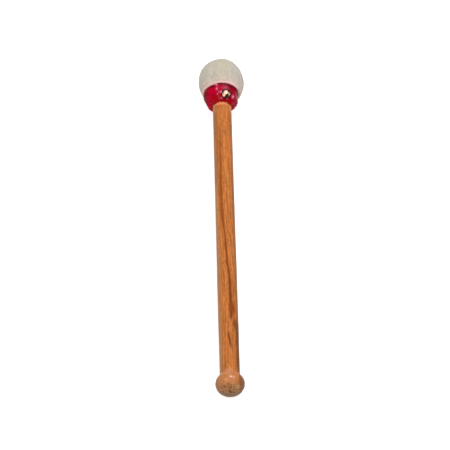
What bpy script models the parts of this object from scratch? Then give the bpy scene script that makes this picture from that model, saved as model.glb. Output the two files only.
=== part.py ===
# A samba drum mallet: a turned hardwood handle with a ball knob, and a padded felt head.
# The felt is gathered and tied to the stick with twine. A leatherette strip is wrapped over
# the gathers, lapped over its own start, and held by one domed nail.
#
# Each piece is modelled along the mallet's own axis, with the knob's centre at zero and the
# head above it. Azimuths are measured round that axis from the side that faces up, towards +X.
# The mallet lies on the floor on its head and its knob, with the head towards +Y.

import math

import bmesh
import bpy
from mathutils import Vector

# Driving dimensions, in metres and degrees

overall_length = 0.367
fit = 0.0003

stick_diameter = 0.018
grip_diameter = 0.0176
grip_length = 0.040
grip_taper = 0.015
knob_diameter = 0.0257
knob_length = 0.0219
knob_flat_diameter = 0.0056
knob_cove = 0.0022
tenon_diameter = 0.011
edge_break = 0.0006

head_diameter = 0.0443
head_length = 0.0494
felt_thickness = 0.0026
felt_roll = 0.001
felt_overhang = 0.0008
padding_thickness = 0.0046

core_web = 0.005
screw_diameter = 0.004
screw_length = 0.022
screw_head_diameter = 0.008
screw_head_height = 0.0024
screw_slot_width = 0.0012
screw_slot_depth = 0.0012
washer_diameter = 0.013
washer_thickness = 0.001

pleat_count = 16
pleat_depth = 0.0013
tied_felt = 0.0022
tied_pleat_depth = 0.0004
draw_in = 0.0022
draw_out = 0.0012
skirt_length = 0.0125
twine_diameter = 0.0011
twine_spacing = 0.00045
twine_turns = 2.5
binding_drop = 0.0058

leather = 0.0012
collar_rim_drop = 0.01383
collar_height = 0.0165
collar_turn_in = 0.0066
collar_close_angle = 75
collar_bunch = 0.001
bunch_drop = 0.0048
bunch_spread = 0.004
seam_azimuth = -13.5
lap_length = 60
lap_climb = 30
lap_gap = 0.0002

nail_azimuth = 16.5
nail_drop = 0.0112
nail_length = 0.013
nail_shank_diameter = 0.0016
nail_head_diameter = 0.0095
nail_head_height = 0.0022
nail_head_wall = 0.0006
nail_press = 0.0009
nail_press_margin = 0.0006
nail_press_ease = 0.0032

# Soft swellings of the felt head: azimuth and latitude in degrees, height, spread in degrees
felt_swells = (
    (-78, 34, 0.0008, 26),
    (80, 30, -0.0005, 28),
    (-70, 74, -0.0008, 20),
    (70, 72, 0.0005, 20),
    (-84, -26, 0.0005, 20),
)

# Sizes that follow from the ones above

stick_radius = stick_diameter / 2
grip_radius = grip_diameter / 2
knob_radius = knob_diameter / 2
knob_half = knob_length / 2
knob_end = knob_half * math.sqrt(1 - (knob_flat_diameter / knob_diameter) ** 2)

head_radius = head_diameter / 2
head_half = head_length / 2
head_centre = overall_length - knob_end - head_half
rim_level = head_centre - collar_rim_drop
rest_tilt = math.asin((head_radius - knob_radius) / head_centre)

felt_inside = head_radius - felt_thickness
felt_inside_top = head_half - felt_thickness
padding_radius = felt_inside - fit
padding_top = felt_inside_top - fit
padding_inside = padding_radius - padding_thickness
padding_inside_top = padding_top - padding_thickness
core_radius = padding_inside - fit
core_half = padding_inside_top - fit

# The screw's head lies under the padding, and the washer and the core lie under it in turn
screw_head_radius = screw_head_diameter / 2
screw_room = padding_inside_top * math.sqrt(1 - (screw_head_radius / padding_inside) ** 2)
core_rise = screw_room - screw_head_height - washer_thickness - 3 * fit
core_top = head_centre + core_rise
core_base = head_centre - core_rise
screw_seat = core_top + washer_thickness + 2 * fit
shoulder = core_base - fit
tenon_top = core_top - core_web - fit

# The collar's outer face in section: a straight run that is tangent to a turn-in arc, which
# closes on the stick. Drops are measured down from the rim.
close_angle = math.radians(collar_close_angle)
rim_radius = head_radius * math.sqrt(1 - (collar_rim_drop / head_half) ** 2) - felt_overhang
lip_radius = stick_radius + fit + leather * math.cos(close_angle)
arc_radius = lip_radius - collar_turn_in * math.cos(close_angle)
arc_drop = collar_height - collar_turn_in * math.sin(close_angle)
arc_away = math.hypot(rim_radius - arc_radius, arc_drop)
collar_taper = math.acos(collar_turn_in / arc_away) - math.atan2(arc_drop, rim_radius - arc_radius)
straight_run = math.sqrt(arc_away ** 2 - collar_turn_in ** 2)
strip_width = straight_run + collar_turn_in * (close_angle - collar_taper)
lap_offset = leather + lap_gap

tuck_level = rim_level + leather * math.sin(collar_taper) + fit
twine_radius = twine_diameter / 2
twine_pitch = twine_diameter + twine_spacing
tied_radius = stick_radius + fit + tied_felt
binding_length = twine_turns * twine_pitch + twine_diameter + 2 * fit
binding_start = binding_drop - binding_length / 2
binding_end = binding_drop + binding_length / 2


def outward(azimuth):
    """Unit vector away from the mallet's axis at an azimuth in radians."""
    return Vector((math.sin(azimuth), -math.cos(azimuth), 0))


def eased(share):
    """0 to 1 with level ends."""
    share = min(max(share, 0), 1)
    return share * share * (3 - 2 * share)


def spheroid(radius, half, start, stop, steps, centre=head_centre):
    """Section points of a spheroid from one latitude to another, in degrees."""
    points = []
    for step in range(steps + 1):
        latitude = math.radians(start + (stop - start) * step / steps)
        points.append((radius * math.cos(latitude), centre + half * math.sin(latitude)))
    return points


def latitude_of(height, half):
    """Latitude in degrees at which a spheroid of this half height reaches a height."""
    return math.degrees(math.asin(height / half))


def rounded(before, corner, after, steps):
    """Section points of a curve that leaves one point and reaches another along the sides of a corner."""
    points = []
    for step in range(steps + 1):
        t = step / steps
        points.append(tuple(
            (1 - t) ** 2 * a + 2 * t * (1 - t) * b + t * t * c
            for a, b, c in zip(before, corner, after)
        ))
    return points


def collar_section(along):
    """Radius, drop and normal's angle of the collar's outer face, this far along it from the rim."""
    if along < straight_run:
        radius = rim_radius - along * math.sin(collar_taper)
        return radius, along * math.cos(collar_taper), collar_taper
    angle = collar_taper + (along - straight_run) / collar_turn_in
    radius = arc_radius + collar_turn_in * math.cos(angle)
    return radius, arc_drop + collar_turn_in * math.sin(angle), angle


def collar_inside(drop):
    """Radius of the collar's inner face at a drop below the rim."""
    inner_turn = collar_turn_in - leather
    if drop < arc_drop + inner_turn * math.sin(collar_taper):
        wall = leather / math.cos(collar_taper)
        return rim_radius - wall - max(drop, 0) * math.tan(collar_taper)
    return arc_radius + math.sqrt(inner_turn ** 2 - (drop - arc_drop) ** 2)


def bunched(azimuth, drop):
    """How far the collar and what it holds are drawn over to the -X side."""
    spread = math.exp(-((drop - bunch_drop) / bunch_spread) ** 2)
    return -collar_bunch * math.sin(azimuth) * spread


def collar_point(azimuth, along, lift):
    """Point of the collar's outer face, lifted off it by this much along its normal."""
    radius, drop, angle = collar_section(along)
    radius += bunched(azimuth, drop) + lift * math.cos(angle)
    level = rim_level - drop - lift * math.sin(angle)
    return outward(azimuth) * radius + Vector((0, 0, level))


nail_along = nail_drop / math.cos(collar_taper)
nail_turn = math.radians(nail_azimuth)
nail_slope = collar_section(nail_along)[2]
nail_axis = outward(nail_turn) * math.cos(nail_slope) - Vector((0, 0, math.sin(nail_slope)))
nail_top = collar_point(nail_turn, nail_along, lap_offset)


def pressed(point, under):
    """The point, pushed down to the flat that the nail's head presses, or to this far under it."""
    away = point - nail_top
    height = away.dot(nail_axis)
    reach = (away - height * nail_axis).length - nail_head_diameter / 2 - nail_press_margin
    above = height + nail_press + under
    if above <= 0:
        return point
    return point - nail_axis * above * (1 - eased(reach / nail_press_ease))


def add_object(name, data, parent, colour, roughness, metallic=0.0):
    """Object under the mallet's axis, with a material of its own."""
    material = bpy.data.materials.new(name)
    material.use_nodes = True
    shader = material.node_tree.nodes["Principled BSDF"]
    shader.inputs["Base Color"].default_value = (*colour, 1)
    shader.inputs["Roughness"].default_value = roughness
    shader.inputs["Metallic"].default_value = metallic
    material.diffuse_color = (*colour, 1)
    data.materials.append(material)
    item = bpy.data.objects.new(name, data)
    bpy.context.scene.collection.objects.link(item)
    item.parent = parent
    return item


def add_mesh(name, shape, parent, colour, roughness, metallic=0.0, sharp=40):
    """Object from a bmesh, smooth except at edges sharper than an angle in degrees."""
    mesh = bpy.data.meshes.new(name)
    shape.to_mesh(mesh)
    shape.free()
    mesh.shade_smooth()
    mesh.set_sharp_from_angle(angle=math.radians(sharp))
    return add_object(name, mesh, parent, colour, roughness, metallic)


def turned(section, segments, closed=False):
    """Bmesh of a section of (radius, level) points spun round the axis."""
    shape = bmesh.new()
    corners = [shape.verts.new((radius, 0, level)) for radius, level in section]
    for first, second in zip(corners, corners[1:]):
        shape.edges.new((first, second))
    if closed:
        shape.edges.new((corners[-1], corners[0]))
    bmesh.ops.spin(
        shape,
        geom=shape.verts[:] + shape.edges[:],
        cent=(0, 0, 0),
        axis=(0, 0, 1),
        angle=math.tau,
        steps=segments,
        use_duplicate=False,
    )
    bmesh.ops.remove_doubles(shape, verts=shape.verts, dist=1e-6)
    bmesh.ops.recalc_face_normals(shape, faces=shape.faces)
    return shape


def cut(item, cutter, name):
    """Take a cutter's shape out of an object."""
    modifier = item.modifiers.new(name, "BOOLEAN")
    modifier.operation = "DIFFERENCE"
    modifier.solver = "EXACT"
    modifier.object = cutter


def make_cutter(name, shape, parent):
    """Hidden object that only cuts others."""
    mesh = bpy.data.meshes.new(name)
    shape.to_mesh(mesh)
    shape.free()
    item = bpy.data.objects.new(name, mesh)
    bpy.context.scene.collection.objects.link(item)
    item.parent = parent
    item.hide_render = True
    item.display_type = "WIRE"
    return item


def make_axis():
    """Empty whose Z axis is the mallet's axis as it lies at rest, centred over the origin."""
    axis = bpy.data.objects.new("mallet_axis", None)
    bpy.context.scene.collection.objects.link(axis)
    lean = math.cos(rest_tilt)
    rise = math.sin(rest_tilt)
    front = head_centre * lean + math.hypot(head_half * lean, head_radius * rise)
    back = knob_end * lean + knob_flat_diameter / 2 * rise
    axis.rotation_euler = (rest_tilt - math.pi / 2, 0, 0)
    axis.location = (0, (back - front) / 2, math.hypot(knob_radius * lean, knob_half * rise))
    return axis


def make_handle(axis):
    """Stick, ball knob and tenon, turned from one blank, with the screw's pilot hole."""
    flat_latitude = -math.degrees(math.acos(knob_flat_diameter / knob_diameter))
    corner_latitude = math.degrees(math.acos(grip_radius / knob_radius))
    corner_level = knob_half * math.sin(math.radians(corner_latitude))
    stop_latitude = corner_latitude - math.degrees(knob_cove / knob_radius)
    knob = spheroid(knob_radius, knob_half, flat_latitude, stop_latitude, 14, centre=0)
    grip_start = (grip_radius, corner_level + knob_cove)
    cove = rounded(knob[-1], (grip_radius, corner_level), grip_start, 4)
    pilot_radius = screw_diameter / 2 + fit
    pilot_floor = screw_seat - screw_length - fit
    section = [(0, -knob_end)] + knob + cove[1:]
    section += [
        (grip_radius, grip_length),
        (stick_radius, grip_length + grip_taper),
        (stick_radius, shoulder - edge_break),
        (stick_radius - edge_break, shoulder),
        (tenon_diameter / 2, shoulder),
        (tenon_diameter / 2, tenon_top - edge_break),
        (tenon_diameter / 2 - edge_break, tenon_top),
        (pilot_radius, tenon_top),
        (pilot_radius, pilot_floor),
        (0, pilot_floor - pilot_radius / 2),
    ]
    return add_mesh("handle", turned(section, 48), axis, (0.52, 0.2, 0.06), 0.32, sharp=50)


def make_core(axis):
    """Bored core: a spheroid with flat ends, seated on the stick's shoulder."""
    latitude = latitude_of(core_rise, core_half)
    bore_radius = tenon_diameter / 2 + fit
    hole_radius = screw_diameter / 2 + fit
    section = [(bore_radius, core_base)]
    section += spheroid(core_radius, core_half, -latitude, latitude, 8)
    section += [
        (hole_radius, core_top),
        (hole_radius, core_top - core_web),
        (bore_radius, core_top - core_web),
    ]
    shape = turned(section, 32, closed=True)
    return add_mesh("head_core", shape, axis, (0.5, 0.33, 0.17), 0.7)


def make_washer(axis):
    """Flat washer between the screw's head and the core."""
    hole_radius = screw_diameter / 2 + fit
    under = core_top + fit
    over = under + washer_thickness
    section = [
        (hole_radius, under),
        (washer_diameter / 2, under),
        (washer_diameter / 2, over),
        (hole_radius, over),
    ]
    shape = turned(section, 32, closed=True)
    return add_mesh("core_washer", shape, axis, (0.55, 0.55, 0.55), 0.35, 1.0)


def make_screw(axis):
    """Slotted pan-head screw down the axis into the tenon's end grain."""
    shank_radius = screw_diameter / 2
    head_top = screw_seat + screw_head_height
    side_top = (screw_head_radius, screw_seat + screw_head_height / 2)
    dome = rounded(side_top, (screw_head_radius, head_top), (screw_head_radius / 2, head_top), 4)
    section = [(0, head_top)] + dome[::-1]
    section += [
        (screw_head_radius, screw_seat),
        (shank_radius, screw_seat),
        (shank_radius, screw_seat - screw_length + screw_diameter),
        (0, screw_seat - screw_length),
    ]
    screw = add_mesh("core_screw", turned(section, 24), axis, (0.6, 0.6, 0.58), 0.3, 1.0)
    slot = bmesh.new()
    bmesh.ops.create_cube(slot, size=1)
    bmesh.ops.scale(
        slot,
        vec=(2 * screw_head_diameter, screw_slot_width, 2 * screw_slot_depth),
        verts=slot.verts,
    )
    bmesh.ops.translate(slot, vec=(0, 0, head_top), verts=slot.verts)
    cut(screw, make_cutter("slot_cutter", slot, axis), "slot")
    return screw


def inner_low(base_depth):
    """Half height of the felt's lower inner face, which leaves the felt's own thickness at the neck."""
    neck = max(collar_inside(0) - fit - felt_thickness, stick_radius + 2 * fit)
    return base_depth / math.sqrt(1 - (neck / felt_inside) ** 2)


def make_padding(axis):
    """Wadding shell round the core, open at the neck for the stick."""
    low_half = inner_low(core_rise + fit) - fit
    outer_stop = latitude_of(-core_rise, low_half)
    inner_start = latitude_of(-core_rise, padding_inside_top)
    section = spheroid(padding_radius, padding_top, 90, 0, 6)
    section += spheroid(padding_radius, low_half, 0, outer_stop, 3)[1:]
    section += spheroid(padding_inside, padding_inside_top, inner_start, 90, 9)
    return add_mesh("padding", turned(section, 32), axis, (0.75, 0.72, 0.66), 0.95)


def tied(drop):
    """How far the twine draws the felt in at a drop below the rim, from 0 to 1."""
    return eased((drop - binding_start + draw_in) / draw_in) - eased((drop - binding_end) / draw_out)


def skirt_radius(drop):
    """Outer radius of the gathered felt at a drop below the rim: it fills the collar except at the twine."""
    filled = collar_inside(drop) - fit
    return filled + (tied_radius - filled) * tied(drop)


def gathered(shape):
    """Form the felt: pleats below the rim, swellings on the head, the collar's bunch and the nail's flat."""
    for vert in shape.verts:
        radius = math.hypot(vert.co.x, vert.co.y)
        azimuth = math.atan2(vert.co.x, -vert.co.y)
        drop = rim_level - vert.co.z
        away = outward(azimuth)
        if drop > -0.0002 and radius > stick_radius + 2 * fit:
            held = tied(drop)
            depth = pleat_depth * eased(drop / draw_in) * (1 - held) + tied_pleat_depth * held
            fold = depth * (1 - math.cos(pleat_count * azimuth)) / 2
            vert.co += away * (bunched(azimuth, drop) * (1 - held) - fold)
            vert.co = pressed(vert.co, lap_offset + leather + fit)
        elif radius > felt_inside * 1.02 or vert.co.z > head_centre + felt_inside_top + fit:
            vert.co += swelling(vert.co)


def swelling(point):
    """Push at a point of the felt head's outer face, from the swellings near it."""
    away = Vector((point.x / head_radius, point.y / head_radius, (point.z - head_centre) / head_half))
    away.normalize()
    push = 0
    for azimuth, latitude, height, spread in felt_swells:
        level = math.radians(latitude)
        middle = outward(math.radians(azimuth)) * math.cos(level) + Vector((0, 0, math.sin(level)))
        push += height * math.exp(-(away.angle(middle) / math.radians(spread)) ** 2)
    return away * push


def make_felt(axis, nail_hole):
    """Felt bag over the padding, rolled in over the collar's rim and gathered into a skirt on the stick."""
    tuck_latitude = latitude_of(tuck_level + felt_roll / 2 - head_centre, head_half)
    section = spheroid(head_radius, head_half, 90, tuck_latitude, 13)
    slope = math.atan2(
        math.sin(math.radians(tuck_latitude)) / head_half,
        math.cos(math.radians(tuck_latitude)) / head_radius,
    )
    roll_radius = section[-1][0] - felt_roll * math.cos(slope)
    roll_level = section[-1][1] - felt_roll * math.sin(slope)
    for share in (1 / 3, 2 / 3, 1):
        angle = slope + (-math.pi / 2 - slope) * share
        section.append((roll_radius + felt_roll * math.cos(angle), roll_level + felt_roll * math.sin(angle)))
    neck_level = section[-1][1]
    section.append((collar_inside(0) - fit, neck_level))
    drops = [0, binding_start - draw_in * 0.6, binding_start - draw_in * 0.3, binding_start]
    drops += [binding_end, binding_end + draw_out / 2, binding_end + draw_out, skirt_length]
    for drop in drops:
        section.append((skirt_radius(drop), rim_level - drop))
    base_depth = core_rise + fit
    low_half = inner_low(base_depth)
    base_latitude = latitude_of(-base_depth, low_half)
    section.append((stick_radius + fit, rim_level - skirt_length))
    section.append((stick_radius + fit, head_centre - base_depth))
    section += spheroid(felt_inside, low_half, base_latitude, 0, 3)
    section += spheroid(felt_inside, felt_inside_top, 0, 90, 6)[1:]
    shape = turned(section, 4 * pleat_count)
    gathered(shape)
    felt = add_mesh("felt_cover", shape, axis, (0.6, 0.52, 0.43), 0.95)
    cut(felt, nail_hole, "nail hole")
    return felt


def make_twine(axis):
    """Twine wound round the gathered felt in one run, its two ends straight and square off the turns."""
    radius = tied_radius + fit + twine_radius
    start = rim_level - binding_start - fit - twine_radius
    count = round(24 * twine_turns)
    points = []
    for step in range(count + 1):
        azimuth = math.tau * step / 24
        points.append(outward(azimuth) * radius + Vector((0, 0, start - twine_pitch * step / 24)))
    turn_length = math.tau * radius
    gaps = [
        (a - b).length - twine_diameter
        for i, a in enumerate(points)
        for b in points[i + 12:]
    ]
    print(f"binding twine: {turn_length * 1000:.1f} mm a turn, least gap {min(gaps) * 1000:.2f} mm")
    lead = (points[0] - points[1]).normalized() * twine_diameter
    tail = (points[-1] - points[-2]).normalized() * twine_diameter
    points = [points[0] + lead] + points + [points[-1] + tail]
    curve = bpy.data.curves.new("binding_twine", "CURVE")
    curve.dimensions = "3D"
    curve.bevel_depth = twine_radius
    curve.bevel_resolution = 1
    curve.use_fill_caps = True
    spline = curve.splines.new("POLY")
    spline.points.add(len(points) - 1)
    for spot, point in zip(spline.points, points):
        spot.co = (*point, 1)
    return add_object("binding_twine", curve, axis, (0.68, 0.58, 0.4), 0.9)


def strip_azimuths():
    """How far round the strip's columns lie from its inner end, in degrees, finer where the lap is."""
    spans = (
        (0, lap_length, 3.75),
        (lap_length, 356 - lap_climb, 8),
        (356 - lap_climb, 360 + lap_length, 3.75),
    )
    turns = [0]
    for start, stop, step in spans:
        count = math.ceil((stop - start) / step)
        turns += [start + (stop - start) * (i + 1) / count for i in range(count)]
    return turns


def make_collar(axis, nail_hole):
    """Leatherette strip wrapped once round the gathers and on over its own start, then pressed by the nail."""
    turns = strip_azimuths()
    rows = 14
    inner_end = seam_azimuth + lap_length
    shape = bmesh.new()
    bmesh.ops.create_grid(shape, x_segments=len(turns) - 1, y_segments=rows, size=1)
    for vert in shape.verts:
        turn = turns[round((vert.co.x + 1) / 2 * (len(turns) - 1))]
        along = (1 - vert.co.y) / 2 * strip_width
        lift = lap_offset * eased((turn - 356 + lap_climb) / lap_climb)
        under = lap_offset - lift
        point = collar_point(math.radians(inner_end - turn), along, lift)
        vert.co = pressed(point, under)
    for face in shape.faces:
        face.normal_flip()
    collar = add_mesh("collar", shape, axis, (0.42, 0.005, 0.025), 0.3, sharp=60)
    wall = collar.modifiers.new("wall", "SOLIDIFY")
    wall.thickness = leather
    wall.offset = -1
    wall.use_even_offset = True
    cut(collar, nail_hole, "nail hole")
    return collar


def nail_section(grow):
    """Nail's shank and point in section, its top at the underside of the head, grown all round by a clearance."""
    radius = nail_shank_diameter / 2 + grow
    return [
        (radius, -nail_length + 2 * nail_shank_diameter),
        (0, -nail_length - 2 * grow),
    ]


def aim_nail(item):
    """Stand a piece on the flat that the nail presses, its Z axis along the nail."""
    item.location = nail_top - nail_axis * nail_press
    item.rotation_mode = "QUATERNION"
    item.rotation_quaternion = nail_axis.to_track_quat("Z", "X")


def make_nail_hole(axis):
    """Cutter for the hole that the nail makes in the collar, the felt and the stick."""
    radius = nail_shank_diameter / 2 + fit
    section = [(0, nail_head_height), (radius, nail_head_height)] + nail_section(fit)
    hole = make_cutter("nail_hole_cutter", turned(section, 16), axis)
    aim_nail(hole)
    return hole


def make_nail(axis):
    """Domed nail: a thin hollow cap on a pointed shank."""
    cap_radius = nail_head_diameter / 2
    ball = (cap_radius ** 2 + nail_head_height ** 2) / (2 * nail_head_height)
    middle = nail_head_height - ball
    edge = math.degrees(math.asin(-middle / ball))
    inner_ball = ball - nail_head_wall
    inner_edge = math.degrees(math.asin(-middle / inner_ball))
    shank_radius = nail_shank_diameter / 2
    root = math.degrees(math.acos(shank_radius / inner_ball))
    section = spheroid(ball, ball, 90, edge, 8, centre=middle + fit)
    section += spheroid(inner_ball, inner_ball, inner_edge, root, 5, centre=middle + fit)
    section += nail_section(0)
    nail = add_mesh("collar_nail", turned(section, 32), axis, (0.83, 0.6, 0.24), 0.22, 1.0)
    aim_nail(nail)
    return nail


def clear_scene():
    """Start from an empty scene."""
    for item in list(bpy.data.objects):
        bpy.data.objects.remove(item, do_unlink=True)


def main():
    clear_scene()
    axis = make_axis()
    nail_hole = make_nail_hole(axis)
    handle = make_handle(axis)
    cut(handle, nail_hole, "nail hole")
    make_core(axis)
    make_washer(axis)
    make_screw(axis)
    make_padding(axis)
    make_felt(axis, nail_hole)
    make_twine(axis)
    make_collar(axis, nail_hole)
    make_nail(axis)


main()
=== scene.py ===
# A samba drum mallet on a white studio floor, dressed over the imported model: a turned and
# varnished stick with a ball knob, a padded felt head tied on with twine, a red leatherette
# strip wrapped over the gathers, and the domed brass nail that holds the strip's lap.

from math import acos, asin, atan2, cos, degrees, hypot, pi, radians, sin, sqrt, tan, tau

import bmesh
import bpy
import numpy as np
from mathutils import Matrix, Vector


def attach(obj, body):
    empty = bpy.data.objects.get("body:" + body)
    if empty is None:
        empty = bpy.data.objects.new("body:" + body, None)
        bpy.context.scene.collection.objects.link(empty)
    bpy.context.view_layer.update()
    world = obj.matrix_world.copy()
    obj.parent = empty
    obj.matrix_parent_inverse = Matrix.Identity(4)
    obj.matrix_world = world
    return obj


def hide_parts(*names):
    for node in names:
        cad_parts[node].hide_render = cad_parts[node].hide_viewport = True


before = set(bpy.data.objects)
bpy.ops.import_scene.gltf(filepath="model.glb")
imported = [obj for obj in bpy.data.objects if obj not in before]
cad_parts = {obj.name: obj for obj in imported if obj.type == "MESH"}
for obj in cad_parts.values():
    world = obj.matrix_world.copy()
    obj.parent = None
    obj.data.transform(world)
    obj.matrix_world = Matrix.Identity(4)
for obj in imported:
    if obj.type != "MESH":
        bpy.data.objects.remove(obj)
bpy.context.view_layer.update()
scene = bpy.context.scene
print("frame loaded")

# Sizes that the pieces share, in metres. Pieces are worked out along the mallet's own axis,
# from the knob's centre up to the head. Azimuths start at the side that faces up, towards +X.
mallet = dict(
    length=.367, gap=.0003, stickRadius=.009,
    knobRadius=.01285, knobHalf=.01095, knobFlatRadius=.0028,
    headRadius=.02215, headHalf=.0247, rimDrop=.0145, rimStep=.0008,
    leather=.0012, lapGap=.0002,
    nailAzimuth=radians(16.5), nailDrop=.0102, nailHeadRadius=.0045, nailPress=.0009,
)

# The gap is what touching pieces keep between them
gap = mallet["gap"]
stickRadius = mallet["stickRadius"]
knobRadius = mallet["knobRadius"]
knobHalf = mallet["knobHalf"]
flatRadius = mallet["knobFlatRadius"]
headRadius = mallet["headRadius"]
headHalf = mallet["headHalf"]
leather = mallet["leather"]
sleeve = stickRadius + gap
lapOffset = leather + mallet["lapGap"]
knobEnd = knobHalf * sqrt(1 - (flatRadius / knobRadius) ** 2)
headCentre = mallet["length"] - knobEnd - headHalf
rimLevel = headCentre - mallet["rimDrop"]

# The mallet lies on its head and its knob, centred over the origin
restTilt = asin((headRadius - knobRadius) / headCentre)
lean, rise = cos(restTilt), sin(restTilt)
frontReach = headCentre * lean + hypot(headHalf * lean, headRadius * rise)
backReach = knobEnd * lean + flatRadius * rise
axisPlace = (0, (backReach - frontReach) / 2, hypot(knobRadius * lean, knobHalf * rise))


# From the mallet's axis to the floor: along the axis becomes +Y and a little up
def placed(points):
    x, y, z = np.moveaxis(points, -1, 0)
    return np.stack((x, lean * z + rise * y, rise * z - lean * y), axis=-1) + axisPlace


# What would go below the floor is moved up to it, square to the axis
def aboveFloor(points):
    level = axisPlace[2] + rise * points[..., 2] - lean * points[..., 1]
    points[..., 1] += np.minimum(level, 0) / lean
    return points


# 0 to 1 with level ends: three times the share squared, less twice its cube
def eased(share):
    share = np.clip(share, 0, 1)
    return share * share * (3 - 2 * share)


# Bell: e to minus the sum of the squared offsets
def bell(*offsets):
    return np.exp(-sum(offset ** 2 for offset in offsets))


# Vectors divided by their own lengths
def unit(vectors):
    return vectors / np.linalg.norm(vectors, axis=-1, keepdims=True)


# Angle from the middle to an azimuth by the shorter way round
def turnFrom(middle, azimuth):
    return (azimuth - middle + pi) % tau - pi


# Unit vectors away from the axis at azimuths in radians: (sine, minus cosine, 0)
def outward(azimuth):
    azimuth = np.asarray(azimuth, float)
    return np.stack((np.sin(azimuth), -np.cos(azimuth), np.zeros_like(azimuth)), axis=-1)


# Soft lumps, given by size, seed and height: seeded values of up to the height at a lattice's
# corners, eased between them, and the same again half as high and twice as fine
latticeSize = 32


def softNoise(points, size, seed, height):
    total = 0
    for octave, fineness in enumerate((1, 2)):
        table = np.random.default_rng(seed + octave).uniform(-1, 1, (latticeSize,) * 3)
        spot = points * fineness / size + 2 * latticeSize
        cell = np.floor(spot).astype(int)
        part = eased(spot - cell)
        for corner in np.ndindex(2, 2, 2):
            weight = np.prod(np.where(corner, part, 1 - part), axis=-1)
            x, y, z = np.moveaxis((cell + corner) % latticeSize, -1, 0)
            total = total + weight * table[x, y, z] / fineness
    return total * height


# Points of a section spun round the axis: radius times the outward vector, plus the level
def spun(section, azimuths):
    points = outward(azimuths)[None] * section[:, 0, None, None]
    points[..., 2] += section[:, 1, None]
    return points


def azimuthsOf(columns):
    return np.arange(columns) * tau / columns


# Section points of a spheroid between two latitudes in degrees: the radius times the cosine,
# and the centre plus half the height times the sine
def spheroid(radius, half, start, stop, steps, centre=headCentre):
    latitude = np.radians(np.linspace(start, stop, steps + 1))
    return np.column_stack((radius * np.cos(latitude), centre + half * np.sin(latitude)))


def latitudeOf(height, half):
    return degrees(asin(height / half))


# Section points of an arc, a round spheroid's moved to a centre
def arc(centre, radius, *span):
    return centre + spheroid(radius, radius, *span, centre=0)


# Points spread evenly between two corners
def straight(first, second, steps):
    return np.linspace(first, second, steps + 1)


# Cosine of an angle along the first direction, and its sine along the second
def circled(angle, first, second):
    return np.cos(angle)[..., None] * first + np.sin(angle)[..., None] * second


def addObject(name, data):
    item = bpy.data.objects.new(name, data)
    scene.collection.objects.link(item)
    return item


# Mesh from point grids of shape (pieces, rows, columns, 3). The last column joins the first,
# a row drawn into one point is a pole, and further values become attributes of the points.
mergeDistance = 1e-7


def surface(name, grid, caps=None, sharp=40, **values):
    grid = grid.reshape(-1, *grid.shape[-3:])
    index = np.arange(grid.size // 3).reshape(grid.shape[:3])
    index = np.concatenate((index, index[:, :, :1]), axis=2)
    row, nextRow = index[:, :-1], index[:, 1:]
    corners = (row[..., :-1], row[..., 1:], nextRow[..., 1:], nextRow[..., :-1])
    faces = np.stack(corners, axis=-1).reshape(-1, 4)
    if caps is not None:
        faces = np.concatenate((faces, caps))
    mesh = bpy.data.meshes.new(name)
    mesh.from_pydata(placed(grid).reshape(-1, 3), [], faces)
    for key, value in values.items():
        layer = mesh.attributes.new(key, "FLOAT", "POINT")
        layer.data.foreach_set("value", np.ravel(value))
    shape = bmesh.new()
    shape.from_mesh(mesh)
    bmesh.ops.remove_doubles(shape, verts=shape.verts, dist=mergeDistance)
    bmesh.ops.recalc_face_normals(shape, faces=shape.faces)
    shape.to_mesh(mesh)
    shape.free()
    mesh.shade_smooth()
    mesh.set_sharp_from_angle(angle=radians(sharp))
    return addObject(name, mesh)


# Dress a new piece: its material, the body it moves with and the solid it stands for
def dress(item, material, replaced=None):
    item.data.materials.append(material)
    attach(item, "root")
    if replaced:
        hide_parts(replaced)
    print(f"{item.name}: {len(item.data.polygons)} faces")


# Colour as it looks on a screen, 0 to 255, made linear
def tone(red, green, blue):
    share = np.array((red, green, blue)) / 255
    linear = np.where(share <= .04045, share / 12.92, ((share + .055) / 1.055) ** 2.4)
    return (*linear.tolist(), 1)


# A node with its inputs set, or joined where the value is another node's output, whose tree
# it goes into unless one is given
def addNode(kind, inputs=None, tree=None, **settings):
    inputs = inputs or {}
    joined = [key for key, value in inputs.items() if isinstance(value, bpy.types.NodeSocket)]
    tree = tree or inputs[joined[0]].id_data
    node = tree.nodes.new("ShaderNode" + kind)
    for key, value in settings.items():
        setattr(node, key, value)
    for key, value in inputs.items():
        if key in joined:
            tree.links.new(value, node.inputs[key])
        else:
            node.inputs[key].default_value = value
    return node


def connect(node, **sockets):
    for key, value in sockets.items():
        node.id_data.links.new(value, node.inputs[key.replace("_", " ")])


def maths(operation, *values):
    return addNode("Math", dict(enumerate(values)), operation=operation).outputs[0]


def times(value, *others):
    for other in others:
        value = maths("MULTIPLY", value, other)
    return value


# A value times a factor, plus a shift
def scaled(value, factor, shift):
    return maths("MULTIPLY_ADD", value, factor, shift)


def vectorMaths(operation, *values):
    return addNode("VectorMath", dict(enumerate(values)), operation=operation)


def stretched(spot, *factors):
    return vectorMaths("MULTIPLY", spot, factors).outputs[0]


def mixed(share, first, second, way="MIX"):
    inputs = {0: share, 6: first, 7: second}
    return addNode("Mix", inputs, data_type="RGBA", blend_type=way).outputs[2]


# Tones of a palette laid over a colour in turn, each by its own share
def layered(colour, palette, **shares):
    for name, share in shares.items():
        colour = mixed(share, colour, palette[name])
    return colour


# Smooth step between two values
def step(value, low, high, start=0, stop=1):
    inputs = {0: value, 1: low, 2: high, 3: start, 4: stop}
    return addNode("MapRange", inputs, interpolation_type="SMOOTHSTEP").outputs[0]


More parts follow.
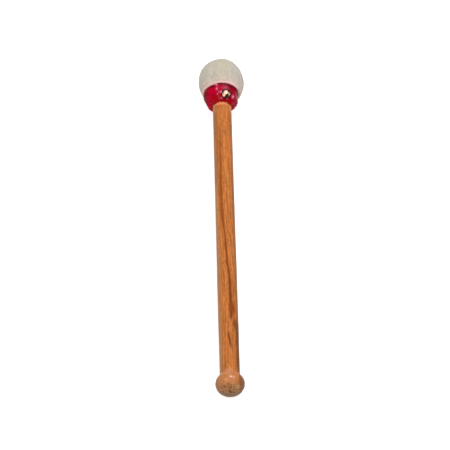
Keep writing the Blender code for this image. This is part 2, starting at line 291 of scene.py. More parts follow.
# Noise whose scale is one number, or one for each axis
def noise(spot, scale, detail=2, roughness=.5, distortion=0):
    if isinstance(scale, tuple):
        spot, scale = stretched(spot, *scale), 1
    inputs = {"Vector": spot, "Scale": scale, "Detail": detail, "Roughness": roughness}
    return addNode("TexNoise", {**inputs, "Distortion": distortion}).outputs[0]


# 1 within the inner distance of a place, in millimetres, and 0 beyond the outer one
def near(spot, place, inner, outer, strength=1):
    away = vectorMaths("DISTANCE", spot, place).outputs["Value"]
    return step(away, inner, outer, strength, 0)


# The strongest of a share and soft marks, each a place, a reach and a strength
def strongest(share, spot, marks, inner):
    for *place, reach, strength in marks:
        share = maths("MAXIMUM", share, near(spot, place, inner, reach, strength))
    return share


# Coordinates shifted by up to half the amount, so that edges in them turn ragged
def frayed(spot, scale, amount):
    shift = addNode("TexNoise", {"Vector": spot, "Scale": scale, "Detail": 3}).outputs[1]
    shift = vectorMaths("SUBTRACT", shift, (.5, .5, .5)).outputs[0]
    return vectorMaths("MULTIPLY_ADD", shift, (amount,) * 3, spot).outputs[0]


# Height in metres to a normal
def bumped(height, distance, strength=1, normal=None):
    inputs = {"Height": height, "Distance": distance, "Strength": strength}
    if normal:
        inputs["Normal"] = normal
    return addNode("Bump", inputs).outputs[0]


# Material with its patterns in millimetres along the mallet's own axis
mm = .001


def newMaterial(name, **fixed):
    material = bpy.data.materials.new(name)
    material.use_nodes = True
    shader = material.node_tree.nodes["Principled BSDF"]
    for key, value in fixed.items():
        shader.inputs[key.replace("_", " ")].default_value = value
    coordinates = addNode("TexCoord", tree=material.node_tree).outputs["Object"]
    turned = (restTilt - pi / 2, 0, 0)
    inputs = {"Vector": coordinates, "Location": axisPlace, "Rotation": turned, "Scale": (mm,) * 3}
    spot = addNode("Mapping", inputs, vector_type="TEXTURE").outputs[0]
    return material, shader, spot


# Camera, fitted to the stick's taper and the places of the head and the knob
view = dict(
    lens=121.44, sensor=36, nearest=.01, distance=1.398,
    lift=33.5, swing=-1.38, aim=.1643, aside=-.00046,
)

camera = addObject("camera", bpy.data.cameras.new("camera"))
scene.camera = camera
camera.data.lens = view["lens"]
camera.data.sensor_width = view["sensor"]
camera.data.clip_start = view["nearest"]
climb = pi / 2 - radians(view["lift"]) - restTilt
swing = radians(view["swing"])
away = outward(swing) * cos(climb) + (0, 0, sin(climb))
camera.location = placed(np.array((view["aside"], 0, view["aim"]))) + away * view["distance"]
camera.rotation_euler = (pi / 2 - climb, 0, swing)
print("camera placed")

# Soft studio light: a wide key lamp overhead, one at the front left, and a small one beyond
# the head for glints
lamps = dict(
    keyLamp=dict(place=(.3, .32, 1.4), size=1.0, power=6.5),
    frontLamp=dict(place=(-.55, -1.0, 1.0), size=1.1, power=4.4),
    glintLamp=dict(place=(.17, .56, 1.1), size=.2, power=3.2),
)
lampAim = Vector((0, -.02, .02))

for name, lamp in lamps.items():
    light = bpy.data.lights.new(name, "AREA")
    light.size = lamp["size"]
    light.energy = lamp["power"]
    item = addObject(name, light)
    item.location = lamp["place"]
    item.rotation_euler = (lampAim - item.location).to_track_quat("-Z", "Y").to_euler()


# 1 for what the camera, a reflection or glass sees, 0 for the light that falls on others
def seenShare(tree):
    path = addNode("LightPath", tree=tree).outputs
    seen = maths("MAXIMUM", path["Is Camera Ray"], path["Is Glossy Ray"])
    return maths("MAXIMUM", seen, path["Is Transmission Ray"])


# The sky is white where it is seen, and lights the object less than that
skyLevel = dict(lighting=.47, seen=1)

scene.world = bpy.data.worlds.new("studio")
scene.world.use_nodes = True
sky = scene.world.node_tree
background = sky.nodes["Background"]
background.inputs["Color"].default_value = (1, 1, 1, 1)
rest = skyLevel["seen"] - skyLevel["lighting"]
connect(background, Strength=scaled(seenShare(sky), rest, skyLevel["lighting"]))

# White floor that keeps a soft shadow: plain paint, with some glow where it is seen
floorPaint = dict(size=12, paint=.8, glow=.68)

half = floorPaint["size"] / 2
corners = [(-half, -half, 0), (half, -half, 0), (half, half, 0), (-half, half, 0)]
floorMesh = bpy.data.meshes.new("floor")
floorMesh.from_pydata(corners, [], [(0, 1, 2, 3)])
floor = addObject("floor", floorMesh)
material = bpy.data.materials.new("studioFloor")
material.use_nodes = True
tree = material.node_tree
tree.nodes.remove(tree.nodes["Principled BSDF"])
paint = addNode("BsdfDiffuse", {"Color": (*[floorPaint["paint"]] * 3, 1)}, tree)
glow = addNode("Emission", {"Strength": times(seenShare(tree), floorPaint["glow"])})
both = addNode("AddShader", {0: paint.outputs[0], 1: glow.outputs[0]})
connect(tree.nodes["Material Output"], Surface=both.outputs[0])
floorMesh.materials.append(material)
scene.view_settings.view_transform = "Standard"
print("floor and lamps set")

# Stick, ball knob, shoulder, tenon and pilot hole, turned from one blank
handle = dict(
    gripRadius=.0088, gripLength=.040, gripTaper=.015, cove=.0022,
    tenonRadius=.0055, edgeBreak=.0006, pilotRadius=.0023,
    columns=128, knobSteps=56, coveSteps=12, runSteps=(12, 6, 90),
    wander=(.006, 11, .00006), wanderStart=.012,
)

# The screw's head lies under the padding, so the core's ends follow from the felt's inside
inside = dict(
    felt=.0026, padding=.0046, web=.005, washer=.001,
    screwLength=.022, screwHeadRadius=.004, screwHeadHeight=.0024,
)
feltInside = headRadius - inside["felt"]
feltInsideTop = headHalf - inside["felt"]
padRadius = feltInside - gap
padTop = feltInsideTop - gap
padInside = padRadius - inside["padding"]
padInsideTop = padTop - inside["padding"]
screwRoom = padInsideTop * sqrt(1 - (inside["screwHeadRadius"] / padInside) ** 2)
coreRise = screwRoom - inside["screwHeadHeight"] - inside["washer"] - 3 * gap
shoulder = headCentre - coreRise - gap
tenonTop = headCentre + coreRise - inside["web"] - gap
screwSeat = headCentre + coreRise + inside["washer"] + 2 * gap
pilotFloor = screwSeat - inside["screwLength"] - gap

flatLatitude = -degrees(acos(flatRadius / knobRadius))
cornerLatitude = degrees(acos(handle["gripRadius"] / knobRadius))
cornerLevel = knobHalf * sin(radians(cornerLatitude))
stopLatitude = cornerLatitude - degrees(handle["cove"] / knobRadius)
knob = spheroid(knobRadius, knobHalf, flatLatitude, stopLatitude, handle["knobSteps"], centre=0)
# The cove is a curve that leaves the knob and reaches the grip along the sides of a corner
share = np.linspace(0, 1, handle["coveSteps"] + 1)[:, None]
corner = np.array((handle["gripRadius"], cornerLevel))
gripStart = corner + (0, handle["cove"])
cove = (1 - share) ** 2 * knob[-1] + 2 * share * (1 - share) * corner + share ** 2 * gripStart
edge = handle["edgeBreak"]
runEnds = (
    gripStart, (handle["gripRadius"], handle["gripLength"]),
    (stickRadius, handle["gripLength"] + handle["gripTaper"]), (stickRadius, shoulder - edge),
)
tenonRadius = handle["tenonRadius"]
pilotRadius = handle["pilotRadius"]
section = np.concatenate((
    [(0, -knobEnd)],
    knob,
    cove[1:],
    *[straight(*run)[1:] for run in zip(runEnds, runEnds[1:], handle["runSteps"])],
    [(stickRadius - edge, shoulder)],
    [(tenonRadius, shoulder), (tenonRadius, tenonTop - edge), (tenonRadius - edge, tenonTop)],
    [(pilotRadius, tenonTop), (pilotRadius, pilotFloor), (0, pilotFloor - pilotRadius / 2)],
))
azimuths = azimuthsOf(handle["columns"])
grid = spun(section, azimuths)
# Hand turning leaves the stick a hair off round: the radius wanders with long soft lumps
lumps = softNoise(grid * (1, 1, .25), *handle["wander"])
onStick = (section[:, 0] > tenonRadius) & (section[:, 1] > handle["wanderStart"])
grid += outward(azimuths)[None] * (lumps * onStick[:, None])[..., None]
handlePiece = surface("varnished_handle", grid, sharp=35)

# Wood whose grain and dark line drift sideways down the stick, along a curve of shares of the
# drift's length and width. Millimetres, and each row of marks ends with reach and strength.
grain = dict(
    drift=((0, .58), (.1, .62), (.17, .69), (.24, .77), (.3, .735), (.37, .68), (.43, .55), (.52, .42),
           (.6, .24), (.7, .185), (1, .19)),
    driftLength=280, driftWidth=10, pith=(34, 9, 0),
    light=tone(220, 140, 72), body=tone(206, 122, 60), late=tone(178, 94, 36),
    line=tone(122, 50, 0), pores=tone(90, 44, 16), spill=tone(148, 72, 20),
    # Some tones are painted light: shade on the sides of the stick and the ball and, with the end grain,
    # under the ball; a sheen and glints on the ball; a highlight under the collar
    worn=tone(180, 134, 92), shade=tone(146, 98, 60), grime=tone(130, 88, 52),
    stain=tone(84, 44, 16), fresh=tone(206, 122, 70), tucked=tone(255, 160, 112),
    knob=tone(206, 133, 82), knobSide=tone(136, 88, 48), haze=tone(226, 162, 122),
    endGrain=tone(169, 121, 82), endPale=tone(208, 164, 118), endLow=tone(130, 107, 83),
    stains=((2.9, -8.5, 21.6, 2.8, 1), (5.3, -7.2, 16.8, 3, 1), (5.4, -7.2, 21, 2.6, .75)),
    rubs=((2.9, -12.4, .5, 2, .6), (-3.6, -11.9, -1.8, 2.3, .6), (2.8, -12, -4, 2.6, .35)),
    polished=((0, -12.7, 1.6, 3.4, 1), (2.9, -12.4, .4, 2.6, 1), (-2.4, -12.3, -2.4, 2.4, 1),
              (-1, -9.5, 8, 6, .25)),
    hazePlace=(-1, -9.5, 7), palePlace=(6.9, -7.8, -7.2), centreMark=(.1, -4.6, -10.2),
)


# Saw-toothed growth rings that end in dark late wood
def growth(spot, scale, distortion, detailScale, **settings):
    inputs = {0: spot, "Scale": scale, "Distortion": distortion, "Detail": 3, "Detail Scale": detailScale}
    return addNode("TexWave", inputs, wave_profile="SAW", **settings).outputs[1]


material, shader, spot = newMaterial(
    "varnishedWood", Roughness=.45, Specular_IOR_Level=.05, Coat_Roughness=.18)
x, y, z = addNode("SeparateXYZ", {0: spot}).outputs
fromMiddle = maths("ABSOLUTE", x)
curve = addNode("FloatCurve", {"Value": maths("DIVIDE", z, grain["driftLength"])})
points = curve.mapping.curves[0].points
points[0].location, *others, points[1].location = grain["drift"]
for place in others:
    points.new(*place)
curve.mapping.update()
drift = scaled(curve.outputs[0], grain["driftWidth"], -grain["driftWidth"] / 2)
across = maths("SUBTRACT", x, drift)
along = addNode("CombineXYZ", {0: across, 1: y, 2: z}).outputs[0]

# Growth rings about a pith far to the left, wavering slowly along the stick
fromPith = vectorMaths("ADD", stretched(along, 1, 1, .02), grain["pith"]).outputs[0]
rings = growth(fromPith, .125, 3.2, .35, wave_type="RINGS", rings_direction="Z")
ramp = addNode("ValToRGB", {0: rings})
stops = ramp.color_ramp.elements
stops[0].color = stops[1].color = grain["light"]
for position, shade in ((.55, "body"), (.85, "late")):
    stops.new(position).color = grain[shade]
colour = mixed(.45, ramp.outputs[0], grain["body"])
# Broad patches, then fine fibres that run the stick's length
patches = noise(along, (.16, .16, .02), 3, .55)
colour = mixed(step(patches, .35, .7, 0, .7), colour, grain["body"])
fibres = noise(along, (1.6, 1.6, .09), 5, .62, .3)
flecks = noise(spot, (.8, .8, .25), 3, .6)
streaks = noise(along, (.55, .55, .03), 3, .6)
dark = times(
    step(fibres, .36, .64, .75, 1.15),
    step(flecks, .35, .65, .86, 1.12),
    step(streaks, .34, .66, .83, 1.1),
)
grey = addNode("CombineColor", {0: dark, 1: dark, 2: dark}).outputs[0]
colour = mixed(1, colour, grey, "MULTIPLY")

# The dark line is narrow, breaks up along its length and ends above the grip
waver = scaled(noise(spot, (.1, .1, .09), 3), 1.6, -.8)
off = maths("ABSOLUTE", maths("ADD", across, waver))
width = times(
    step(noise(spot, (0, 0, .05)), .3, .7, .8, 1.6),
    step(z, 75, 120, 1.8, 1.35),
    step(z, 150, 215, 1, 1.45),
)
line = times(
    step(maths("DIVIDE", off, width), 0, 1.25, 1, 0),
    step(z, 56, 64),
    step(z, 120, 175, 1, .7),
    step(z, 200, 270, 1, .2),
    step(y, -2, 4, 1, .25),
)
# A second short line slopes across the grip, nearer the middle
short = times(
    step(maths("ABSOLUTE", maths("ADD", x, scaled(z, .125, -5.35))), .4, 1.25, 1, 0),
    step(z, 27, 36),
    step(z, 43, 51, 1, 0),
    step(y, -3, 1, 1, 0),
)
colour = mixed(times(maths("MAXIMUM", line, short), .92), colour, grain["line"])
# Brown stains where the line runs out, in coordinates shortened along the stick
shortened = frayed(stretched(spot, 1, 1, .3), .5, 2.4)
for *place, reach, strength in grain["stains"]:
    colour = mixed(near(shortened, place, .3, reach, strength), colour, grain["spill"])

# Painted shade on both sides of the stick: dull and grey on the left, darker on the left by the head
# and on the right. The grip's right side is stained. The ball is paler on top, the wood fresher by
# the collar, and a painted highlight runs along the stick's edge just under the collar.
ragged = scaled(noise(spot, (.5, .5, .12), 3), 3, -1.5)
raggedX = maths("ADD", x, ragged)
raggedY = maths("ADD", y, ragged)
raggedZ = scaled(ragged, 9, z)
darkened = maths("ADD", step(z, 195, 225, 0, .36), step(z, 255, 285, 0, .34))
tucked = times(step(fromMiddle, 5.6, 8.2, 0, .6), step(raggedZ, 286, 298), step(raggedY, -5, 1, 1, .1))
colour = layered(
    colour, grain,
    # painted shade, dull and grey, on the stick's left edge
    worn=times(step(raggedX, -8, -4.6, .7, 0), step(z, 185, 250, 1, .2)),
    shade=times(step(raggedX, -7.6, -2.8, 1, 0), darkened),
    # painted shade on the stick's right edge
    grime=step(raggedX, 6, 8.4, 0, .6),
    stain=times(
        step(raggedX, 4.6, 7.4, 0, .7),
        step(z, 2, 16),
        step(raggedZ, 48, 66, 1, .15),
        step(raggedY, -1.5, 4, 1, .15),
    ),
    knob=times(step(z, 0, 9, .7, 0), step(fromMiddle, 3, 8, 1, .3)),
    fresh=times(step(z, 283, 300, 0, .45), step(x, -7, -2)),
    # a painted highlight along the stick's edge just under the collar
    tucked=maths("MAXIMUM", tucked, step(z, 297, 299.4, 0, .8)),
)

# Open pores: short dark flecks along the stick, dots on the knob's end, which is darker below,
# partly from its end grain and partly from painted shade. Painted shade darkens the ball's sides.
onKnob = step(z, 2, 8, 1, 0)
onEnd = step(z, -3, -8)
pores = step(noise(spot, (2.4, 2.4, .5), 2, .6), .62, .7)
speckle = noise(spot, .52, 3, .6, .4)
dots = times(step(speckle, .52, .64), onEnd)
sides = maths("MAXIMUM", step(raggedX, 6.4, 9.6, 0, .85), step(raggedX, -12.4, -9, .6, 0))
under = step(scaled(y, -1.3, maths("ADD", z, ragged)), -11, 0, 1, 0)
colour = layered(
    colour, grain,
    # painted shade on the ball's sides
    knobSide=times(onKnob, sides),
    # a painted sheen on the grip just above the ball
    haze=near(spot, grain["hazePlace"], 2, 6.5, .38),
    endGrain=times(onEnd, .75),
    # darker below on the ball's end: end grain and painted shade
    endLow=times(under, onEnd, .85),
    pores=times(pores, .35),
)
colour = layered(
    colour, grain,
    pores=times(dots, step(under, 0, 1, .88, .5)),
    endPale=times(step(speckle, .36, .46, 1, 0), onEnd, step(under, 0, 1, .7, .3)),
)
# Painted glints on the ball, and a dark mark where the blank was held by its centre
for *place, reach, strength in grain["rubs"]:
    colour = mixed(near(spot, place, .2, reach, strength), colour, grain["haze"])
colour = layered(
    colour, grain,
    endPale=near(spot, grain["palePlace"], .4, 3.2, .6),
    pores=near(spot, grain["centreMark"], .5, 1.4, .85),
)

rough = scaled(onEnd, .12, scaled(fibres, .16, .3))
height = scaled(dots, -.5, scaled(pores, -.6, times(fibres, .5)))
# The palm has polished the ball's top in patches, which catch the light
polished = strongest(step(z, 3, 9, .1, 0), spot, grain["polished"], .3)
# Hand sanding left broad flats, which break up the ball's shine
flats = bumped(noise(spot, .24, 1), .00012, onKnob)
connect(shader, Base_Color=colour, Roughness=rough, Coat_Weight=polished,
        Normal=bumped(height, .00012, .6, flats), Coat_Normal=flats)
dress(handlePiece, material, "handle")

# Collar in section: a straight run from the rim, tangent to an arc that closes on the stick.
# Angles are in degrees. Each push from inside has its middle's azimuth and level, its height
# and its spread round and along the strip.
collar = dict(
    height=.0157, turnIn=.0066, closeAngle=75,
    bunch=.0013, bunchDrop=.004, bunchSpread=.005,
    seam=-13.5, lap=60, climb=30, climbEnd=356,
    edgeRadius=.00034, edgeSteps=4, faceSteps=60, columns=420,
    endRound=1.3, endColumns=4, endLift=.0004, endSpread=9,
    slack=(.007, 21, .00014), creases=.00016, creaseFrom=.45, creaseSpan=.5,
    puckers=.0002, puckerRays=9, puckerMiddle=.0014, puckerSpread=.0016,
    thinning=.55, thinIn=30, thinOut=20, thinFrom=.55, thinSpan=.35,
    pressMargin=.0006, pressReach=.0032,
    pushes=(
        (98, .009, .0013, 36, .004),
        (98, .0146, -.0007, 36, .0024),
        (-108, .0145, .0008, 28, .003),
        (-90, .0098, .0008, 26, .0026),
        (-90, .005, .0005, 24, .0028),
        (-42, .0178, .0017, 15, .0025),
        (50, .0178, .0016, 16, .0025),
    ),
)
rimSlip = dict(azimuth=62, amount=.001, spread=28, reach=.004)
closeAngle = radians(collar["closeAngle"])
turnIn = collar["turnIn"]
rimRadius = headRadius * sqrt(1 - (mallet["rimDrop"] / headHalf) ** 2) - mallet["rimStep"]
lipRadius = sleeve + leather * cos(closeAngle)
arcRadius = lipRadius - turnIn * cos(closeAngle)
arcDrop = collar["height"] - turnIn * sin(closeAngle)
arcAway = hypot(rimRadius - arcRadius, arcDrop)
taper = acos(turnIn / arcAway) - atan2(arcDrop, rimRadius - arcRadius)
straightRun = sqrt(arcAway ** 2 - turnIn ** 2)
stripWidth = straightRun + turnIn * (closeAngle - taper)


# Radius, drop below the rim and normal's angle at a distance along the section: the run
# leans in by the taper, then the arc turns by the distance over its radius
def collarSection(along):
    angle = taper + np.maximum(along - straightRun, 0) / turnIn
    run = (rimRadius - along * sin(taper), along * cos(taper))
    bend = (arcRadius + turnIn * np.cos(angle), arcDrop + turnIn * np.sin(angle))
    radius, drop = np.where(along < straightRun, run, bend)
    return radius, drop, angle


# Radius of the inner face at a drop: the run less the wall, then the arc's inner circle
def collarInside(drop):
    innerTurn = turnIn - leather
    run = rimRadius - leather / cos(taper) - np.maximum(drop, 0) * tan(taper)
    bend = arcRadius + np.sqrt(np.maximum(innerTurn ** 2 - (drop - arcDrop) ** 2, 0))
    return np.where(drop < arcDrop + innerTurn * sin(taper), run, bend)


# The gathers bunch to one side: minus the sine of the azimuth times a bell over the drop
def bunched(azimuth, drop):
    spread = bell((drop - collar["bunchDrop"]) / collar["bunchSpread"])
    return -collar["bunch"] * np.sin(azimuth) * spread


# Points of the outer face at an azimuth, lifted along the normal
def collarPoint(azimuth, along, lift):
    radius, drop, angle = collarSection(along)
    radius = radius + bunched(azimuth, drop) + lift * np.cos(angle)
    points = outward(azimuth) * radius[..., None]
    points[..., 2] = rimLevel - drop - lift * np.sin(angle)
    return points


nailAzimuth = mallet["nailAzimuth"]
capRadius = mallet["nailHeadRadius"]
nailAlong = mallet["nailDrop"] / cos(taper)
nailSlope = collarSection(nailAlong)[2]
nailAxis = outward(nailAzimuth) * cos(nailSlope) - (0, 0, sin(nailSlope))
nailTop = collarPoint(nailAzimuth, nailAlong, lapOffset)


# The rim hangs lower at the right: near it, points slide down the axis by a bell of the
# azimuth times a bell of the level
def slipped(points):
    turn = turnFrom(radians(rimSlip["azimuth"]), np.arctan2(points[..., 0], -points[..., 1]))
    level = points[..., 2] - rimLevel
    slide = bell(turn / radians(rimSlip["spread"]), level / rimSlip["reach"])
    return points - rimSlip["amount"] * slide[..., None] * (0, 0, 1)


# What stands above the nail's flat is pushed down to it, fully under the nail's head and less
# and less round it
def pressed(points, under):
    away = points - nailTop
    height = away @ nailAxis
    beside = np.linalg.norm(away - height[..., None] * nailAxis, axis=-1)
    reach = (beside - capRadius - collar["pressMargin"]) / collar["pressReach"]
    above = np.maximum(height + mallet["nailPress"] + under, 0)
    return points - nailAxis * (above * (1 - eased(reach)))[..., None]


# Relief of the worn leatherette: slack waves, creases that gather towards the stick (cosines
# of the azimuth many times over), rays round the nail (a cosine of the angle about it, in a bell
# outside its head), and pushes from inside (a bell of the azimuth times one along the strip)
def relief(azimuth, along):
    flat = collarPoint(azimuth, along, np.zeros_like(along))
    waves = softNoise(flat, *collar["slack"])
    gather = eased((along / stripWidth - collar["creaseFrom"]) / collar["creaseSpan"])
    folds = np.cos(17 * azimuth + 1.8 * np.sin(3 * azimuth + .6)) + .5 * np.cos(29 * azimuth + 1.1)
    creases = collar["creases"] * gather * (folds + .6)
    sideways = turnFrom(nailAzimuth, azimuth) * collarSection(along)[0]
    lengthways = along - nailAlong
    beyond = np.hypot(sideways, lengthways) - capRadius
    ring = bell((beyond - collar["puckerMiddle"]) / collar["puckerSpread"])
    rays = np.cos(collar["puckerRays"] * np.arctan2(lengthways, sideways) + .7)
    total = waves + creases + collar["puckers"] * ring * rays
    for middle, level, height, spread, reach in collar["pushes"]:
        turn = turnFrom(radians(middle), azimuth)
        total = total + height * bell(turn / radians(spread), (along - level) / reach)
    return total


# The strip's outline, a closed loop of (along, depth): two faces and two rounded edges
edgeRadius = collar["edgeRadius"]
edgeSteps = collar["edgeSteps"]
faceEnd = stripWidth - edgeRadius
face = np.linspace(edgeRadius, faceEnd, collar["faceSteps"] + 1)[:, None] * (1, 0)
lipEdge = np.concatenate((
    arc((faceEnd, edgeRadius), edgeRadius, -90, 0, edgeSteps)[1:],
    arc((faceEnd, leather - edgeRadius), edgeRadius, 0, 90, edgeSteps)[:-1],
))
rimEdge = lipEdge[::-1] * (-1, 1) + (stripWidth, 0)
loop = np.concatenate((face, lipEdge, face[::-1] + (0, leather), rimEdge))
# Columns are closer at the two ends, which the outline rounds by drawing in
wholeTurn = 360 + collar["lap"]
endRound = collar["endRound"]
ends = endRound * (1 - np.cos(np.linspace(0, pi / 2, collar["endColumns"] + 1)))
middles = np.linspace(endRound, wholeTurn - endRound, collar["columns"] + 1)[1:-1]
turns = np.concatenate((ends, middles, wholeTurn - ends[::-1]))[:, None]
toEnds = np.minimum(turns, wholeTurn - turns) / endRound
inset = edgeRadius * (1 - np.sqrt(1 - (1 - np.clip(toEnds, 0, 1)) ** 2))
alongs = np.clip(loop[:, 0], inset, stripWidth - inset)
depths = np.clip(loop[:, 1], inset, leather - inset)
azimuths = np.radians(collar["seam"] + collar["lap"] - turns) + 0 * alongs
# The strip climbs over its own start just before it comes round to it
lift = lapOffset * eased((turns - collar["climbEnd"]) / collar["climb"] + 1)
# The free end stands off a little, most of all at the rim's corner
byRim = 1 - eased(1.6 * alongs / stripWidth)
endLift = collar["endLift"] * (1 - eased((wholeTurn - turns) / collar["endSpread"])) * (.35 + .65 * byRim)
# Where the two layers turn in to the stick they are pressed thin
lapped = np.maximum(
    eased((turns - 360) / collar["thinIn"] + 1),
    eased((collar["lap"] - turns) / collar["thinOut"] + 1),
)
towardsLip = eased((alongs / stripWidth - collar["thinFrom"]) / collar["thinSpan"])
thin = 1 - collar["thinning"] * lapped * towardsLip
points = collarPoint(azimuths, alongs, (lift - depths) * thin + endLift + relief(azimuths, alongs))
grid = slipped(pressed(points, (lapOffset - lift + depths) * thin))
# Each end is closed with quads from the outer face to the inner one
count = len(loop)
pairs = np.arange(collar["faceSteps"] + edgeSteps)
order = np.roll(np.arange(count), edgeSteps)
corners = (order[pairs], order[pairs + 1], order[-2 - pairs], order[-1 - pairs])
startCap = np.stack(corners, axis=-1)
caps = np.concatenate((startCap, startCap[:, ::-1] + count * (len(turns) - 1)))
# Carried on each point: its depth in the strip's thickness, and millimetres to the free end
toEnd = np.radians(wholeTurn - turns) * collarSection(alongs)[0] / mm
collarPiece = surface("wrapped_collar", grid, caps=caps, sharp=75, depth=depths / leather, toEnd=toEnd)

# Worn red skin on a pale woven backing, which shows where the strip is cut. Painted highlights lie
# pale where the skin stands up, by the free end and round the nail.
skin = dict(
    red=tone(196, 0, 46), deep=tone(126, 4, 22), low=tone(166, 6, 14), rim=tone(86, 4, 20),
    rubbed=tone(255, 148, 180), cut=tone(240, 160, 168), backing=tone(208, 150, 146),
    rubs=((-5, -16.6, 316.8, 2.2, 1), (-4.4, -15.7, 312.2, 2.3, 1), (-3.8, -14.2, 307, 1.9, .55),
          (-.4, -13.7, 302.3, 2, .45), (-1, -15.8, 307.8, 1.9, 1), (10.8, -11.3, 305.2, 2.9, .9),
          (5.5, -12.9, 302, 2, .85), (3.4, -16.1, 312.4, 2.3, .45), (3.4, -16.4, 312, 5.5, .24)),
)
material, shader, spot = newMaterial("redLeatherette", Roughness=.3, Specular_IOR_Level=.03)
x, y, z = addNode("SeparateXYZ", {0: spot}).outputs
fromMiddle = maths("ABSOLUTE", x)
rim = rimLevel / mm
lip = (rimLevel - collar["height"]) / mm
# The skin is mottled deeper at random. Painted shade makes it deeper at the right and below the
# rim, where it stands for the felt's shadow, warmer by the stick with a painted reflection of the
# wood, and darkest at the sides
rimDark = times(step(z, rim - 3.6, rim - 1.2), step(x, -9, 0, .8, .95))
colour = mixed(step(noise(spot, .18, 3, .55), .42, .7, 0, .5), skin["red"], skin["deep"])
colour = mixed(step(x, 2, 13, 0, .4), colour, skin["deep"])
colour = layered(
    colour, skin,
    deep=times(step(x, -2, 4, 0, .8), step(z, rim - 7, rim - 2)),
    low=times(step(z, lip + 3.5, lip + 7.5, .9, 0), step(fromMiddle, 7, 12, 1, .3)),
    rim=maths("MAXIMUM", step(fromMiddle, 13, 16.5, 0, .75), rimDark),
)
# Painted highlights along the free end, in patches, and in the spots
toEnd, depth = [
    addNode("Attribute", tree=spot.id_data, attribute_name=name).outputs["Fac"]
    for name in ("toEnd", "depth")
]
byEnd = step(toEnd, 0, .8, 1, 0)
patchy = noise(spot, (.2, .2, .55))
ragged = frayed(spot, 1.1, 2.4)
# A painted shadow darkens the skin in a ring round the nail
colour = mixed(near(ragged, (nailTop / mm).tolist(), 5, 6.6, .9), colour, skin["rim"])
rubbed = strongest(times(byEnd, step(patchy, .46, .6, .1, .7)), ragged, skin["rubs"], .2)
scuffs = noise(spot, (2.2, 2.2, 1), 4, .7, .8)
colour = layered(
    colour, skin,
    rubbed=times(rubbed, step(scuffs, .36, .54, .3, 1)),
    cut=times(step(depth, .1, .3), scaled(byEnd, -.75, 1)),
)
backing = mixed(step(noise(spot, (3, 3, 3)), .4, .6), skin["backing"], skin["cut"])
colour = mixed(step(depth, .7, .95), colour, backing)
wrinkles = noise(spot, .7, 4, .6, .3)
inputs = {"Vector": spot, "Scale": 1.5, "Randomness": 1}
pebbles = addNode("TexVoronoi", inputs, feature="SMOOTH_F1").outputs[0]
height = scaled(pebbles, -.35, wrinkles)
connect(shader, Base_Color=colour, Roughness=step(wrinkles, .3, .7, .26, .45),
        Normal=bumped(height, .0004, .5))
dress(collarPiece, material, "collar")

# Felt bag: a spheroid from the crown to the rim, a small roll over it, the neck, the gathered
# skirt that the twine ties in, and the inner face back up to the crown. Each swell has its
# middle's azimuth and latitude, its height and its spread in degrees.
felt = dict(
    roll=.001, skirt=.0125, skirtEdge=.0006, skirtInset=.00018, insetFrom=.0005, gatherFrom=-.0002,
    pleats=16, pleatDepth=.0013, tiedPleatDepth=.0004, uneven=(.01, 41, .25),
    tiedFelt=.0022, drawIn=.0022, drawOut=.0012, bindingDrop=.0058,
    lumps=(.009, 31, .00022), fineLumps=(.0024, 37, .00005),
    gathers=.00022, gatherFade=.005,
    columns=320, crownSteps=84, rollSteps=8, skirtSteps=45,
    swells=((-78, 34, .0008, 26), (80, 30, -.0005, 28), (-70, 74, -.0006, 20), (72, 64, .0009, 22),
            (-84, -26, .0005, 20), (-80, 50, .0002, 20)),
)
twine = dict(
    radius=.00055, spacing=.00045, turns=2.5, steps=720, sides=10,
    plyRadius=.00029, plyOffset=.00026, twist=.0024, endTurn=.03,
)

tiedRadius = sleeve + felt["tiedFelt"]
twinePitch = 2 * twine["radius"] + twine["spacing"]
bindingLength = twine["turns"] * twinePitch + 2 * twine["radius"] + 2 * gap
bindingStart = felt["bindingDrop"] - bindingLength / 2
bindingEnd = felt["bindingDrop"] + bindingLength / 2
tuckLevel = rimLevel + leather * sin(taper) + gap


# How far the twine draws the felt in at a drop below the rim, 0 to 1
def tied(drop):
    drawn = eased((drop - bindingStart + felt["drawIn"]) / felt["drawIn"])
    return drawn - eased((drop - bindingEnd) / felt["drawOut"])


# The skirt fills the collar, except where the twine ties it
def skirtRadius(drop):
    filled = collarInside(drop) - gap
    return filled + (tiedRadius - filled) * tied(drop)


# Push of the felt's soft swellings, each a bell of the angle from its middle, and the
# direction outwards
def swelling(points):
    away = unit((points - (0, 0, headCentre)) / (headRadius, headRadius, headHalf))
    push = 0
    for azimuth, latitude, height, spread in felt["swells"]:
        level = radians(latitude)
        middle = outward(radians(azimuth)) * cos(level) + (0, 0, sin(level))
        angle = np.arccos(np.clip(away @ middle, -1, 1))
        push = push + height * bell(angle / radians(spread))
    return away * push[..., None], away


tuckLatitude = latitudeOf(tuckLevel + felt["roll"] / 2 - headCentre, headHalf)
crown = spheroid(headRadius, headHalf, 90, tuckLatitude, felt["crownSteps"])
slope = atan2(sin(radians(tuckLatitude)) / headHalf, cos(radians(tuckLatitude)) / headRadius)
rollCentre = crown[-1] - felt["roll"] * np.array((cos(slope), sin(slope)))
rolled = arc(rollCentre, felt["roll"], degrees(slope), -90, felt["rollSteps"])[1:]
drops = np.linspace(0, felt["skirt"], felt["skirtSteps"] + 1)
skirt = np.column_stack((skirtRadius(drops), rimLevel - drops))
skirtLevel = rimLevel - felt["skirt"]
neck = max(collarInside(0) - gap - inside["felt"], sleeve + gap)
baseDepth = coreRise + gap
lowHalf = baseDepth / sqrt(1 - (neck / feltInside) ** 2)
section = np.concatenate((
    crown,
    rolled,
    straight(rolled[-1], skirt[0], 4)[1:-1],
    skirt,
    straight((skirt[-1, 0] - felt["skirtEdge"], skirtLevel), (sleeve, skirtLevel), 3),
    [(sleeve, headCentre - baseDepth)],
    spheroid(feltInside, lowHalf, latitudeOf(-baseDepth, lowHalf), 0, 10),
    spheroid(feltInside, feltInsideTop, 0, 90, 20)[1:],
))
